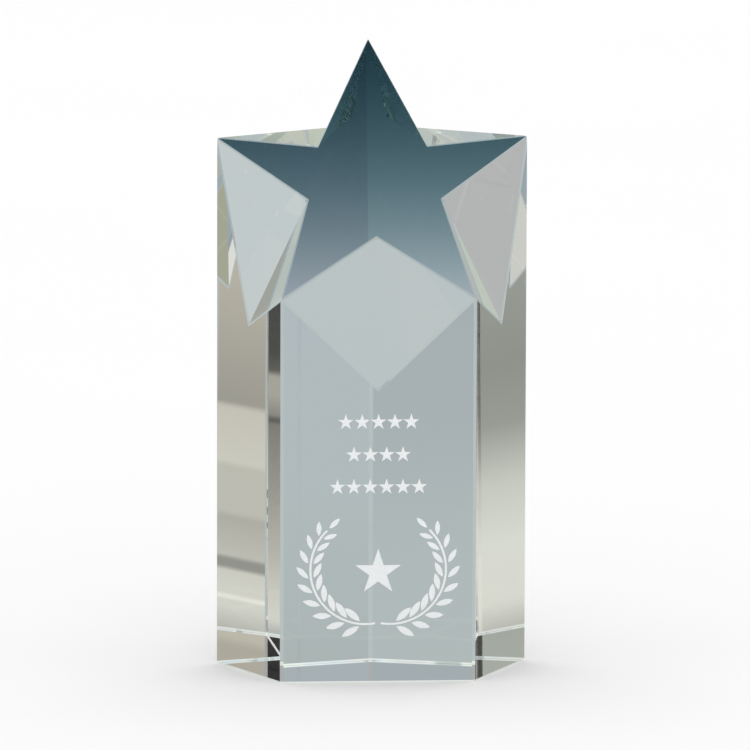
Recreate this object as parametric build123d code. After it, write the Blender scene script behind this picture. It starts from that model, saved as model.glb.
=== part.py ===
from build123d import *

import math
import os

# A star trophy cut from one block of clear crystal, with etched marks in its front face.
# Origin: centroid of the five-sided base, on the face that it stands on. +Z up, front face towards -Y.

# Driving dimensions of the block, in millimetres and degrees.
HEIGHT = 203.2  # base to the star's back tip, before the bevels
WIDTH = 101.6  # across the left and right upright edges, before the bevels
DEPTH = 58.0  # front face to the back upright edge, before the bevels
FRONT_TIP_HEIGHT = 126.1  # where the sloping top meets the two front edges
UPRIGHT_BEVEL = 0.75  # leg of the flat on each upright edge
BASE_BEVEL = 0.6
NOTCH_BEVEL = 0.4  # leg of the flats round the star and down the notches

# The plan is a regular five-sided figure pressed shallower, front to back, until it has the depth above.
# Inner corners of the star in the plan before it is pressed: distance from the centre, and angle from
# straight ahead.
FRONT_ROOT = (20.4, 0)
SIDE_ROOT = (22.7, 73)
REAR_ROOT = (22.1, 125.4)

# Where each groove runs out through an outer face: share of the way along it, and height.
FRONT_FOOT = (0.5, 96.3)
SIDE_FOOT = (0.5, 114.9)
REAR_FOOT = (0.88, 174.6)

# Etched marks in the front face.
POCKET_DEPTH = 0.5
FILL_RECESS = 0.06  # the fill lies this far behind the face
FILL_MARGIN = 0.03  # and this far from the walls and floor of its pocket
ROW_STAR_RADIUS = 2.9
ROW_STAR_PITCH = 5.3
UPPER_ROW = (5, 85.8)  # stars in the row, and the height of its middle
MIDDLE_ROW = (4, 75.1)
LOWER_ROW = (6, 64.5)
EMBLEM_HEIGHT = 36.4
EMBLEM_STAR_RADIUS = 8.0
STEM_CENTRE = (4.0, 1.0)  # of the right branch's arc, from the emblem's middle
STEM_RADIUS = 18.0
STEM_BREADTH = 0.8
STEM_START = -100
STEM_END = 46
LEAF_PAIRS = 9
LEAF_FIRST = -84  # angles on the stem's arc of the lowest and highest pairs
LEAF_LAST = 36
LEAF_SPREAD = 36  # angle between a leaf and the stem
LONGEST_LEAF = 6.8
SHORTEST_LEAF = 5.0
LEAF_SLIMNESS = 0.34  # breadth over length
LEAF_GAP = 0.4  # bare crystal between the stem and a leaf

# Worked out from the dimensions above.
RADIUS = WIDTH / 2 / math.cos(math.radians(18))  # centre to corner, before the plan is pressed
APOTHEM = RADIUS * math.cos(math.radians(36))  # centre to side, before the plan is pressed
PRESSING = DEPTH / (RADIUS + APOTHEM)
FRONT = APOTHEM * PRESSING  # centre to the front face
TOP_SLOPE = (HEIGHT - FRONT_TIP_HEIGHT) / DEPTH
FAR = 150.0  # longer than any cut needs to be
FRONT_FACE = Plane(origin=(0, -FRONT, 0), x_dir=(1, 0, 0), z_dir=(0, -1, 0))


def polar(radius, degrees):
    """A point in a plane, from its distance and its angle."""
    angle = math.radians(degrees)
    return radius * math.cos(angle), radius * math.sin(angle)


def pressed_plan(radius, degrees):
    """A point of the plan, from its distance and its angle before the plan is pressed."""
    x, y = polar(radius, degrees)
    return x, y * PRESSING


def corner(index):
    """A sharp corner of the base outline: 0 back, 1 left, 2 front left, 3 front right, 4 right."""
    return pressed_plan(RADIUS, 90 + 72 * index)


def on_top(x, y):
    """The point of the sloping top above a point in plan."""
    return Vector(x, y, FRONT_TIP_HEIGHT + TOP_SLOPE * (y + FRONT))


def root_point(root, side):
    """An inner corner of the star, on the left for side -1 and on the right for side 1."""
    x, y = pressed_plan(root[0], root[1] - 90)
    return on_top(side * x, y)


def foot_point(foot, start, end):
    """Where a groove runs out through the outer face between two corners."""
    share, height = foot
    x = start[0] + share * (end[0] - start[0])
    y = start[1] + share * (end[1] - start[1])
    return Vector(x, y, height)


def across(point, start, direction):
    """Unit vector from an edge towards a point, square to the edge."""
    offset = point - start
    return (offset - direction * offset.dot(direction)).normalized()


def bar(start, section, direction, length):
    """A three-sided bar: its section's corners are offsets from start."""
    outline = Polyline(*[start + offset for offset in section], close=True)
    return extrude(make_face(outline), amount=length, dir=direction)


def bevel(tip, inner, first, second):
    """Takes the sharp corner off the edge from tip to inner. The other two points lie in its faces."""
    edge = (inner - tip).normalized()
    a = across(first, tip, edge) * NOTCH_BEVEL
    b = across(second, tip, edge) * NOTCH_BEVEL
    section = [a * 2 - b, b * 2 - a, (a + b) * -1]
    past_tip = 3.0
    past_inner = NOTCH_BEVEL * 0.3
    length = (inner - tip).length + past_tip + past_inner
    return bar(tip - edge * past_tip, section, edge, length)


def notch(first_corner, second_corner, root, foot):
    """All that is ground away between two points of the star: a V down its groove, and the bevels."""
    tips = [on_top(*first_corner), on_top(*second_corner)]
    groove = (foot - root).normalized()
    arms = [across(tip, root, groove) * FAR for tip in tips]
    section = [Vector(0, 0, 0), arms[0], arms[1]]
    cuts = [bar(root - groove * FAR, section, groove, 2 * FAR)]
    middle = on_top(0, 0)
    below = Vector(foot.X, foot.Y, 0)
    for tip in tips:
        cuts.append(bevel(tip, root, middle, foot))
        cuts.append(bevel(tip, foot, below, root))
    return cuts


def blank():
    """The five-sided column with its upright and base edges bevelled, under the sloping top."""
    points = []
    for index in range(5):
        here = Vector(*corner(index))
        for neighbour in (index - 1, index + 1):
            along = Vector(*corner(neighbour)) - here
            points.append(here + along.normalized() * UPRIGHT_BEVEL)
    column = extrude(make_face(Polyline(*points, close=True)), amount=HEIGHT)
    column = chamfer(column.faces().sort_by(Axis.Z)[0].edges(), BASE_BEVEL)
    front, back = on_top(0, -FAR), on_top(0, FAR)
    over = Polyline(front, back, (0, FAR, FAR + HEIGHT), (0, -FAR, FAR + HEIGHT), close=True)
    return column - extrude(make_face(over), amount=FAR, dir=(1, 0, 0), both=True)


def star_outline(radius, margin):
    """A star with one point up, its sides moved in by the margin."""
    waist = math.cos(math.radians(72))
    tip = radius - margin / waist
    dip = tip * waist / math.cos(math.radians(36))
    points = [polar(tip if i % 2 == 0 else dip, 90 + 36 * i) for i in range(10)]
    return make_face(Polyline(*points, close=True))


def leaf_outline(length, margin):
    """A pointed oval along +X about its own middle, its sides moved in by the margin."""
    breadth = length * LEAF_SLIMNESS
    scale = 1 - 2 * margin / breadth
    half_length, half_breadth = length * scale / 2, breadth * scale / 2
    left, right = (-half_length, 0), (half_length, 0)
    upper = ThreePointArc(left, (0, half_breadth), right)
    lower = ThreePointArc(right, (0, -half_breadth), left)
    return make_face([upper, lower])


def star_row(row, margin):
    """A centred row of small stars."""
    count, height = row
    start = -ROW_STAR_PITCH * (count - 1) / 2
    star = star_outline(ROW_STAR_RADIUS, margin)
    return [Pos(start + ROW_STAR_PITCH * i, height) * star for i in range(count)]


def emblem_star(margin):
    """The large star inside the laurel."""
    return [Pos(0, EMBLEM_HEIGHT) * star_outline(EMBLEM_STAR_RADIUS, margin)]


def stem(margin):
    """The right branch's stem: a narrow band along an arc."""
    half = STEM_BREADTH / 2 - margin
    trim = math.degrees(margin / STEM_RADIUS)
    start, end = STEM_START + trim, STEM_END - trim
    middle = (start + end) / 2
    outer = [polar(STEM_RADIUS + half, angle) for angle in (start, middle, end)]
    inner = [polar(STEM_RADIUS - half, angle) for angle in (end, middle, start)]
    edges = [
        ThreePointArc(*outer),
        Line(outer[2], inner[0]),
        ThreePointArc(*inner),
        Line(inner[2], outer[0]),
    ]
    place = Pos(STEM_CENTRE[0], STEM_CENTRE[1] + EMBLEM_HEIGHT)
    return [place * make_face(edges)]


def leaf(angle, turn, length, margin):
    """One leaf of the right branch, turned inwards or outwards from the stem, or straight on at 0."""
    x, y = polar(STEM_RADIUS, angle)
    on_stem = Pos(STEM_CENTRE[0] + x, STEM_CENTRE[1] + EMBLEM_HEIGHT + y) * Rot(0, 0, angle + 90)
    clear = LEAF_GAP + STEM_BREADTH / 2
    beside = polar(clear, math.copysign(90, turn) if turn else 0)
    return on_stem * Pos(*beside) * Rot(0, 0, turn) * Pos(length / 2, 0) * leaf_outline(length, margin)


def leaves(margin):
    """The right branch's leaves: pairs that shorten towards its end, and one at the end."""
    made = []
    for pair in range(LEAF_PAIRS):
        share = pair / (LEAF_PAIRS - 1)
        angle = LEAF_FIRST + share * (LEAF_LAST - LEAF_FIRST)
        length = LONGEST_LEAF + share * (SHORTEST_LEAF - LONGEST_LEAF)
        made.append(leaf(angle, LEAF_SPREAD, length, margin))
        made.append(leaf(angle, -LEAF_SPREAD, length, margin))
    made.append(leaf(STEM_END, 0, SHORTEST_LEAF, margin))
    return made


def mirrored(faces):
    """The same marks on the left."""
    return [mirror(face, about=Plane.YZ) for face in faces]


def marks(margin):
    """Every etched mark, by the name of its fill."""
    return {
        "upper_star_row_fill": star_row(UPPER_ROW, margin),
        "middle_star_row_fill": star_row(MIDDLE_ROW, margin),
        "lower_star_row_fill": star_row(LOWER_ROW, margin),
        "emblem_star_fill": emblem_star(margin),
        "right_laurel_stem_fill": stem(margin),
        "right_laurel_leaves_fill": leaves(margin),
        "left_laurel_stem_fill": mirrored(stem(margin)),
        "left_laurel_leaves_fill": mirrored(leaves(margin)),
    }


def sunk(face, start, end):
    """A mark as a solid between two depths behind the front face."""
    return extrude(FRONT_FACE.offset(-start) * face, amount=start - end)


def crystal_block():
    """The bevelled column with its five notches and the pockets of its etched marks."""
    back, left, front_left, front_right, right = [corner(i) for i in range(5)]
    cuts = notch(
        front_left,
        front_right,
        root_point(FRONT_ROOT, 1),
        foot_point(FRONT_FOOT, front_left, front_right),
    )
    for side, front, flank in ((-1, front_left, left), (1, front_right, right)):
        cuts += notch(front, flank, root_point(SIDE_ROOT, side), foot_point(SIDE_FOOT, front, flank))
        cuts += notch(flank, back, root_point(REAR_ROOT, side), foot_point(REAR_FOOT, flank, back))
    for faces in marks(0).values():
        cuts += [sunk(face, -1.0, POCKET_DEPTH) for face in faces]
    block = blank()
    for cut in cuts:
        block -= cut
    return block


os.makedirs("parts", exist_ok=True)
export_step(crystal_block(), "parts/crystal_block.step")
for name, faces in marks(FILL_MARGIN).items():
    fills = [sunk(face, FILL_RECESS, POCKET_DEPTH - FILL_MARGIN) for face in faces]
    export_step(Compound(fills), f"parts/{name}.step")
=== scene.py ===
import math

import bpy
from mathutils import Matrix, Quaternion, Vector


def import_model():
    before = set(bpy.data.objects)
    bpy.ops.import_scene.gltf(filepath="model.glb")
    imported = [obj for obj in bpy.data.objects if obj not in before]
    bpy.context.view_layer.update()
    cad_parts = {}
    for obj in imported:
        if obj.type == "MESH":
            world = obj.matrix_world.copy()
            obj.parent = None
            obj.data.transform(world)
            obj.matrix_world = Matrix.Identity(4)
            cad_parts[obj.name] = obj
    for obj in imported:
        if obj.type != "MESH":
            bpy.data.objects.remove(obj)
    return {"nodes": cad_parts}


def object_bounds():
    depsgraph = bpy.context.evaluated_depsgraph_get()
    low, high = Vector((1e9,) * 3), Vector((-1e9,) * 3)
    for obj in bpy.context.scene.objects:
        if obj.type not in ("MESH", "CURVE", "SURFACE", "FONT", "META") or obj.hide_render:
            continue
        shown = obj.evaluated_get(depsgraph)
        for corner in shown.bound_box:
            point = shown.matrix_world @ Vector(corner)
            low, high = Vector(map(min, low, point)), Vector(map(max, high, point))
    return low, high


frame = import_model()
cad_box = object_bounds()
cad_low = cad_box[0][2]

# The viewpoint: a long lens, slightly left of the front and slightly above.
# Angles in degrees, distances in metres, lens and sensor in millimetres.
CAMERA_AZIMUTH = -3.78
CAMERA_ELEVATION = 9.74
CAMERA_ROLL = -0.175
CAMERA_DISTANCE = 3.541
CAMERA_LENS = 522.7
CAMERA_SENSOR = 36
CAMERA_AIM = Vector((0.0005, 0.0, 0.0968))
CAMERA_REACH = 100  # nothing farther away is drawn

MM = 0.001
WHITE = (1.0, 1.0, 1.0)
BOUNCES = 48  # enough for light to find its way out of the block

scene = bpy.context.scene
block = frame["nodes"]["crystal_block"]


def rgba(colour):
    """A colour as a socket holds it."""
    return (*colour, 1.0)


def add(tree, kind, inputs=None, **settings):
    """A new shader node. An input that is a socket is linked, and any other is set."""
    made = tree.nodes.new(kind)
    for name, value in settings.items():
        setattr(made, name, value)
    for name, value in (inputs or {}).items():
        if isinstance(value, bpy.types.NodeSocket):
            tree.links.new(value, made.inputs[name])
        else:
            made.inputs[name].default_value = value
    return made


def maths(tree, operation, first, second=0.0):
    """A sum or comparison of two values."""
    return add(tree, "ShaderNodeMath", {0: first, 1: second}, operation=operation).outputs[0]


def fade(tree, value, start, end, low=0.0, high=1.0):
    """Goes smoothly from low to high while the value goes from start to end."""
    inputs = {"Value": value, "From Min": start, "From Max": end, "To Min": low, "To Max": high}
    return add(tree, "ShaderNodeMapRange", inputs, interpolation_type="SMOOTHSTEP").outputs[0]


def mix(tree, share, first, second):
    """The first colour where share is 0, the second where it is 1."""
    made = add(tree, "ShaderNodeMix", {"Factor": share}, data_type="RGBA")
    for socket, colour in ((made.inputs[6], first), (made.inputs[7], second)):
        if isinstance(colour, bpy.types.NodeSocket):
            tree.links.new(colour, socket)
        else:
            socket.default_value = rgba(colour)
    return made.outputs[2]


def ramp(tree, value, stops):
    """A colour for each value, from (value, colour) stops in rising order."""
    start, end = stops[0][0], stops[-1][0]
    inputs = {"Value": value, "From Min": start, "From Max": end}
    share = add(tree, "ShaderNodeMapRange", inputs).outputs[0]
    made = add(tree, "ShaderNodeValToRGB", {"Fac": share})
    elements = made.color_ramp.elements
    while len(elements) < len(stops):
        elements.new(0.5)
    for element, (at, colour) in zip(elements, stops):
        element.position = (at - start) / (end - start)
        element.color = rgba(colour)
    return made.outputs["Color"]


def noise(tree, place, size, detail=2.0):
    """Cloudy noise from 0 to 1, whose lumps are about that many millimetres across."""
    inputs = {"Vector": place, "Scale": 1 / (size * MM), "Detail": detail}
    return add(tree, "ShaderNodeTexNoise", inputs).outputs["Fac"]


def camera():
    """Looks at the middle of the trophy."""
    azimuth, elevation = math.radians(CAMERA_AZIMUTH), math.radians(CAMERA_ELEVATION)
    level = math.cos(elevation)
    back = Vector((math.sin(azimuth) * level, -math.cos(azimuth) * level, math.sin(elevation)))
    made = bpy.data.objects.new("camera", bpy.data.cameras.new("camera"))
    scene.collection.objects.link(made)
    made.data.sensor_width = CAMERA_SENSOR
    made.data.lens = CAMERA_LENS
    made.data.clip_end = CAMERA_REACH
    made.location = CAMERA_AIM + back * CAMERA_DISTANCE
    made.rotation_mode = "QUATERNION"
    roll = Quaternion(back, math.radians(-CAMERA_ROLL))
    made.rotation_quaternion = roll @ (-back).to_track_quat("-Z", "Y")
    scene.camera = made


# What the studio shows in each direction, seen through the crystal. The first value is the direction's
# height, from -1 straight down to 1 straight up.
SURROUND = [
    (-1.0, (0.35, 0.42, 0.46)),
    (-0.5, (0.35, 0.42, 0.46)),
    (-0.3, (0.5, 0.55, 0.55)),
    (-0.1, (0.45, 0.5, 0.5)),
    (0.2, (0.4, 0.4, 0.4)),
    (1.0, (0.45, 0.5, 0.4)),
]
# Soft patches of other colours in it: azimuth, elevation and radius in degrees, and the colour.
# Azimuth 0 is behind the trophy, 90 is on its right.
SURROUND_PATCHES = [
    (31, -16, 5, (0.55, 0.6, 0.6)),
    (-21, -16, 5, (0.45, 0.45, 0.45)),
    (44, -33, 6, (0.5, 0.55, 0.5)),
    (137, -33, 8, (0.35, 0.35, 0.3)),
    (-134, -36, 8, (0.55, 0.6, 0.5)),
    (-40, -36, 8, (0.45, 0.45, 0.4)),
    (4, -33, 2.5, (0.8, 0.8, 0.75)),
    (22, -30, 7, (0.3, 0.35, 0.4)),
    (107, -28, 7, (0.4, 0.4, 0.3)),
    (-112, -28, 7, (0.7, 0.7, 0.65)),
]
# The same for what the crystal reflects.
MIRRORED = [
    (-1.0, (0.65, 0.7, 0.7)),
    (0.3, (0.7, 0.75, 0.75)),
    (0.8, (0.1, 0.15, 0.15)),
    (1.0, (0.1, 0.1, 0.15)),
]
MIRRORED_BEHIND = (0.1, 0.1, 0.1)
MIRRORED_PATCHES = [(4, 33, 9, (1.0, 1.0, 0.85))]
PATCH_SOFTNESS = 0.2  # share of a patch's radius over which its rim fades, on each side
ROOM_LIGHT = (1.06, 1.06, 1.06)


def heading(azimuth, elevation=0.0):
    """The direction at those angles, in degrees."""
    turn, rise = math.radians(azimuth), math.radians(elevation)
    level = math.cos(rise)
    return Vector((math.sin(turn) * level, math.cos(turn) * level, math.sin(rise)))


def patched(tree, direction, around, patches):
    """The surround with each patch laid over it."""
    for azimuth, elevation, radius, colour in patches:
        inputs = {0: direction, 1: heading(azimuth, elevation)}
        near = add(tree, "ShaderNodeVectorMath", inputs, operation="DOT_PRODUCT").outputs["Value"]
        edge = math.cos(math.radians(radius * (1 + PATCH_SOFTNESS)))
        core = math.cos(math.radians(radius * (1 - PATCH_SOFTNESS)))
        around = mix(tree, fade(tree, near, edge, core), around, colour)
    return around


def seen_through(tree, direction, way):
    """Blue-grey behind the trophy, with the patches."""
    return patched(tree, direction, ramp(tree, way["Z"], SURROUND), SURROUND_PATCHES)


def mirrored(tree, direction, way):
    """Pale in front, dark overhead and low down behind."""
    rearward, low_down = fade(tree, way["Y"], 0.1, 0.6), fade(tree, way["Z"], 0.05, 0.0)
    behind = maths(tree, "MULTIPLY", rearward, low_down)
    around = mix(tree, behind, ramp(tree, way["Z"], MIRRORED), MIRRORED_BEHIND)
    return patched(tree, direction, around, MIRRORED_PATCHES)


def world():
    """A soft white room. The crystal has its own surround, which only it reflects and lets through."""
    made = bpy.data.worlds.new("studio")
    scene.world = made
    made.use_nodes = True
    tree = made.node_tree
    tree.nodes.clear()
    direction = add(tree, "ShaderNodeTexCoord").outputs["Generated"]
    way = add(tree, "ShaderNodeSeparateXYZ", {"Vector": direction}).outputs
    ray = add(tree, "ShaderNodeLightPath").outputs
    light = mix(tree, ray["Is Glossy Ray"], ROOM_LIGHT, mirrored(tree, direction, way))
    light = mix(tree, ray["Is Transmission Ray"], light, seen_through(tree, direction, way))
    light = mix(tree, ray["Is Camera Ray"], light, WHITE)
    shown = add(tree, "ShaderNodeBackground", {"Color": light}).outputs[0]
    add(tree, "ShaderNodeOutputWorld", {"Surface": shown})


def material(name):
    """A new material: its node tree, its Principled shader and the object's own coordinates in metres."""
    made = bpy.data.materials.new(name)
    made.use_nodes = True
    tree = made.node_tree
    place = add(tree, "ShaderNodeTexCoord").outputs["Object"]
    return made, tree, tree.nodes["Principled BSDF"], place


# The star's face has a painted reflection of a dark room above. It is clear at its two front tips and
# darkens to navy towards its back tip.
STAR_PAINTED_REFLECTION = (7.2, 5.1, 4.7)  # how strongly the painted reflection darkens red, green and blue at the back tip
STAR_REFLECTION_RISE = 1.2  # above 1, the painted darkening grows slowly at first
FACE_DEPTH = 0.05 * MM  # a point this near to a face is on it
UPRIGHT_BEVEL_REACH = 0.8 * MM  # from the middle of an upright edge's bevel
UPRIGHT_BEVEL_LEAST = 20 * MM  # such a bevel is taller than this
UPRIGHT_BEVEL_WIDTHS = (0.3 * MM, 2 * MM)  # and between these widths
UPRIGHT_LEAN = 0.01  # and leans no more than this
BASE_BEVEL_TOP = 0.61 * MM
BEVEL_SATIN = 0.03  # roughness that grinding leaves on the bevels
BASE_GLOW = (0.37, 0.385, 0.37)  # stands in for the light that the base bevels gather from a table
GLASS_INDEX = 1.52


def star_plane():
    """The star's face: its normal, its distance from the origin, and its lowest and highest heights."""
    mesh = block.data
    sloping = [facet for facet in mesh.polygons if facet.normal.z > 0.5]
    facet = max(sloping, key=lambda facet: facet.area)
    distance = facet.normal.dot(mesh.vertices[facet.vertices[0]].co)
    places = [vertex.co for vertex in mesh.vertices]
    heights = [place.z for place in places if abs(facet.normal.dot(place) - distance) < FACE_DEPTH]
    return facet.normal, distance, min(heights), max(heights)


def narrow_uprights():
    """The middles, in plan, of the narrow facets on the upright edges."""
    narrowest, widest = UPRIGHT_BEVEL_WIDTHS
    places = set()
    for facet in block.data.polygons:
        corners = [block.data.vertices[index].co for index in facet.vertices]
        tall = max(corner.z for corner in corners) - min(corner.z for corner in corners)
        across = max((one.xy - other.xy).length for one in corners for other in corners)
        upright = abs(facet.normal.z) < UPRIGHT_LEAN and tall > UPRIGHT_BEVEL_LEAST
        if upright and narrowest < across < widest:
            first = min(corners, key=lambda corner: (corner.x, corner.y))
            last = max(corners, key=lambda corner: (corner.x, corner.y))
            places.add(tuple(round(value, 5) for value in (first.xy + last.xy) / 2))
    return sorted(places)


def within(tree, place, normal, distance):
    """1 on a plane, from its normal and its distance from the origin."""
    along = add(tree, "ShaderNodeVectorMath", {0: place, 1: normal}, operation="DOT_PRODUCT")
    off_plane = maths(tree, "ABSOLUTE", maths(tree, "SUBTRACT", along.outputs["Value"], distance))
    return maths(tree, "LESS_THAN", off_plane, FACE_DEPTH)


def on_bevels(tree, place, way):
    """1 on the flats along the upright edges, and 1 on those round the base."""
    in_plan = {0: place, 1: (1.0, 1.0, 0.0)}
    flat = add(tree, "ShaderNodeVectorMath", in_plan, operation="MULTIPLY")
    nearest = None
    for x, y in narrow_uprights():
        inputs = {0: flat.outputs["Vector"], 1: (x, y, 0.0)}
        off = add(tree, "ShaderNodeVectorMath", inputs, operation="DISTANCE").outputs["Value"]
        nearest = off if nearest is None else maths(tree, "MINIMUM", nearest, off)
    upright = maths(tree, "LESS_THAN", nearest, UPRIGHT_BEVEL_REACH)
    low = maths(tree, "LESS_THAN", way["Z"], cad_low + BASE_BEVEL_TOP)
    not_under = maths(tree, "GREATER_THAN", way["Z"], cad_low + FACE_DEPTH)
    return upright, maths(tree, "MULTIPLY", low, not_under)


def painted_star_reflection(tree, share):
    """The painted reflection on the star's face: a colour that darkens from its front tips (share 0) to
    its back tip (share 1).
    """
    darkening = maths(tree, "POWER", share, STAR_REFLECTION_RISE)
    painted_channels = [maths(tree, "EXPONENT", maths(tree, "MULTIPLY", darkening, -darkness)) for darkness in STAR_PAINTED_REFLECTION]
    return add(tree, "ShaderNodeCombineColor", dict(enumerate(painted_channels))).outputs[0]


def crystal():
    """Clear polished crystal, faintly uneven, with a painted reflection on the star's face going from
    navy to clear.
    """
    made, tree, surface, place = material("clear_crystal")
    way = add(tree, "ShaderNodeSeparateXYZ", {"Vector": place}).outputs
    normal, distance, foot, tip = star_plane()
    share = add(tree, "ShaderNodeMapRange", {"Value": way["Z"], "From Min": foot, "From Max": tip})
    # Painted reflection: the star's face is darkened to navy towards its back tip, as if it mirrored a
    # dark room above.
    star = painted_star_reflection(tree, share.outputs[0])
    clear = mix(tree, noise(tree, place, 30), (0.975, 0.988, 0.985), (0.99, 0.995, 0.995))
    tint = mix(tree, within(tree, place, normal, distance), clear, star)
    tree.links.new(tint, surface.inputs["Base Color"])
    polish = fade(tree, noise(tree, place, 6, 4), 0.35, 0.75, 0.0, 0.02)
    upright, ground = on_bevels(tree, place, way)
    satin = maths(tree, "MULTIPLY", maths(tree, "ADD", upright, ground), BEVEL_SATIN)
    tree.links.new(maths(tree, "ADD", polish, satin), surface.inputs["Roughness"])
    gathered = mix(tree, ground, (0.0, 0.0, 0.0), BASE_GLOW)
    tree.links.new(gathered, surface.inputs["Emission Color"])
    surface.inputs["Emission Strength"].default_value = 1.0
    surface.inputs["Transmission Weight"].default_value = 1.0
    surface.inputs["IOR"].default_value = GLASS_INDEX
    return made


def enamel():
    """Matt white fill, grainy like the blasted crystal that holds it."""
    made, tree, surface, place = material("white_enamel")
    grain = noise(tree, place, 0.25, 4)
    tone = mix(tree, noise(tree, place, 4), (0.74, 0.77, 0.78), (0.83, 0.85, 0.85))
    colour = mix(tree, fade(tree, grain, 0.3, 0.7), tone, (0.86, 0.88, 0.88))
    tree.links.new(colour, surface.inputs["Base Color"])
    tree.links.new(fade(tree, grain, 0.3, 0.7, 0.55, 0.75), surface.inputs["Roughness"])
    bump = add(tree, "ShaderNodeBump", {"Height": grain, "Strength": 0.4, "Distance": 0.05 * MM})
    tree.links.new(bump.outputs[0], surface.inputs["Normal"])
    return made


FLOOR_HALF = 6.0  # from the middle of the floor to its sides, in metres


def square(name, corners, shade):
    """A flat four-cornered piece of the studio."""
    mesh = bpy.data.meshes.new(name)
    mesh.from_pydata(corners, [], [(0, 1, 2, 3)])
    made = bpy.data.objects.new(name, mesh)
    scene.collection.objects.link(made)
    mesh.materials.append(shade)
    return made


def floor():
    """Pale floor under the trophy. The crystal doesn't show it."""
    made, tree, surface, place = material("pale_floor")
    tone = mix(tree, noise(tree, place, 300), (0.93, 0.93, 0.93), (0.95, 0.95, 0.95))
    tree.links.new(tone, surface.inputs["Base Color"])
    surface.inputs["Roughness"].default_value = 0.8
    surface.inputs["Specular IOR Level"].default_value = 0.0
    reach = FLOOR_HALF
    corners = [(-reach, -reach), (reach, -reach), (reach, reach), (-reach, reach)]
    plane = square("floor", [(*corner, cad_low) for corner in corners], made)
    plane.visible_glossy = False
    plane.visible_transmission = False


# Upright cards round the trophy, in millimetres and degrees. Light that leaves the crystal's upright
# faces goes down 9 to 11 degrees on its way to them, so a card's colours are given by the height that
# the light came from.
CARD_FOOT = -98.3  # where light from the base meets a card
CARD_STRETCH = 1.139  # how far apart light 1 mm apart meets it
# The hues of the cards, low down and high up. Beyond its hues, a card has only its brightness at each
# height, in millimetres.
WARM = (Vector((1.0, 1.0, 0.9)), Vector((1.0, 0.94, 0.78)))
GREY = (Vector((1.0, 1.0, 0.9)), Vector((1.0, 1.06, 0.94)))
BLUE = (Vector((1.0, 1.13, 1.12)), Vector((1.0, 1.13, 1.19)))
HUE_HEIGHT = 120  # where the upper hue is reached, in millimetres
# A pale table edge, a dark gap, a wall with two thin seams, and a dark shelf under more wall.
LEFT_ROOM = [
    (0, 0.5),
    (8, 0.7),
    (10, 0.7),
    (11, 0.95),
    (12, 0.7),
    (20, 0.65),
    (21, 0.3),
    (24, 0.3),
    (25, 0.55),
    (38, 0.45),
    (40, 0.55),
    (55, 0.55),
    (57, 0.65),
    (75, 0.6),
    (77, 0.35),
    (120, 0.5),
    (175, 0.55),
    (178, 0.45),
    (195, 0.45),
]
# Pale low down, greyer above, then a dark seam, a lit patch and shade.
LEFT_EDGE = [
    (0, 0.5),
    (4, 0.7),
    (12, 0.65),
    (25, 0.5),
    (45, 0.35),
    (70, 0.2),
    (71, 0.1),
    (72, 0.1),
    (73, 0.25),
    (80, 0.4),
    (86, 0.4),
    (88, 0.1),
    (94, 0.05),
    (195, 0.0),
]
# A pale wall that turns to shade half way up.
RIGHT_ROOM = [
    (0, 0.55),
    (10, 0.8),
    (30, 0.8),
    (50, 0.65),
    (70, 0.35),
    (90, 0.3),
    (195, 0.45),
]
RIGHT_EDGE = [
    (0, 0.7),
    (8, 0.85),
    (25, 0.85),
    (50, 0.6),
    (60, 0.35),
    (75, 0.15),
    (95, 0.15),
    (98, 0.05),
    (195, 0.05),
]
FRONT_LEFT = [
    (0, 0.4),
    (60, 0.43),
    (120, 0.43),
    (195, 0.36),
]
FRONT_RIGHT = [
    (0, 0.43),
    (40, 0.42),
    (80, 0.38),
    (195, 0.35),
]
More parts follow.
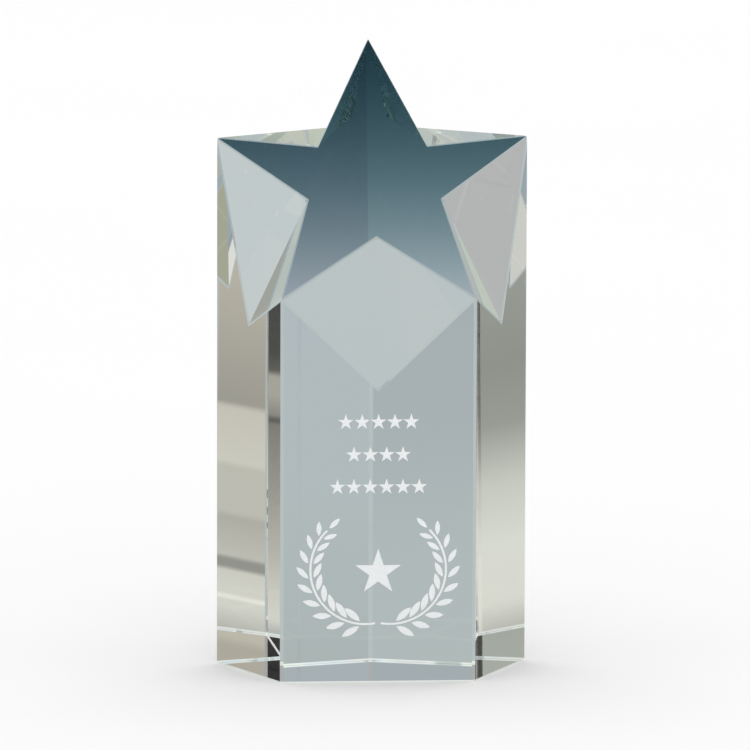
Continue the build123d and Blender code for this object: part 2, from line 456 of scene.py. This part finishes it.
# Azimuth, distance from the trophy, left and right ends, hues, and brightness by height.
CARDS = {
    "card_left_face": (97.5, 545, -20, 11, WARM, LEFT_ROOM),
    "card_left_strip": (124, 545, -38, -27, WARM, LEFT_EDGE),
    "card_right_face": (-102, 545, -12, 18, GREY, RIGHT_ROOM),
    "card_right_edge": (-102, 545, 18, 23, WARM, RIGHT_EDGE),
    "card_right_strip": (-120, 545, 30, 38, WARM, RIGHT_EDGE),
    "card_right_middle": (120.5, 545, 30, 41, WARM, RIGHT_EDGE),
    "card_right_outer": (-138, 545, 39, 49, WARM, RIGHT_EDGE),
    "card_front_left": (18.4, 507, -42, -1, BLUE, FRONT_LEFT),
    "card_front_right": (-9.5, 507, -1, 44, BLUE, FRONT_RIGHT),
}


def coloured(hues, light):
    """Colour stops from brightness stops. The hue drifts from the lower one to the upper one."""
    low, high = hues
    return [(at, tuple(low.lerp(high, min(at / HUE_HEIGHT, 1.0)) * bright)) for at, bright in light]


def card_paint(name, stops):
    """Light by height."""
    made = bpy.data.materials.new(name)
    made.use_nodes = True
    tree = made.node_tree
    tree.nodes.clear()
    place = add(tree, "ShaderNodeTexCoord").outputs["Object"]
    height = add(tree, "ShaderNodeSeparateXYZ", {"Vector": place}).outputs["Z"]
    height = maths(tree, "DIVIDE", maths(tree, "SUBTRACT", height, CARD_FOOT * MM), CARD_STRETCH * MM)
    light = add(tree, "ShaderNodeEmission", {"Color": ramp(tree, height, stops)}).outputs[0]
    add(tree, "ShaderNodeOutputMaterial", {"Surface": light})
    return made


def cards():
    """Stands the cards up. Only light that has come through the crystal meets them."""
    for name, (azimuth, away, start, end, hues, light) in CARDS.items():
        out, aside = heading(azimuth), heading(azimuth + 90)
        left, right = out * away + aside * start, out * away + aside * end
        low, high = [Vector((0, 0, CARD_FOOT + CARD_STRETCH * at)) for at in (light[0][0], light[-1][0])]
        corners = [corner * MM for corner in (left + low, right + low, right + high, left + high)]
        made = square(name, corners, card_paint(name, coloured(hues, light)))
        made.visible_camera = False
        made.visible_diffuse = False
        made.visible_glossy = False
        made.visible_shadow = False


camera()
world()
floor()
cards()
glass, white_fill = crystal(), enamel()
for name, node in frame["nodes"].items():
    node.material_slots[0].material = glass if name == "crystal_block" else white_fill

scene.view_settings.view_transform = "Standard"
scene.cycles.max_bounces = BOUNCES
scene.cycles.glossy_bounces = BOUNCES
scene.cycles.transmission_bounces = BOUNCES
scene.cycles.transparent_max_bounces = 16
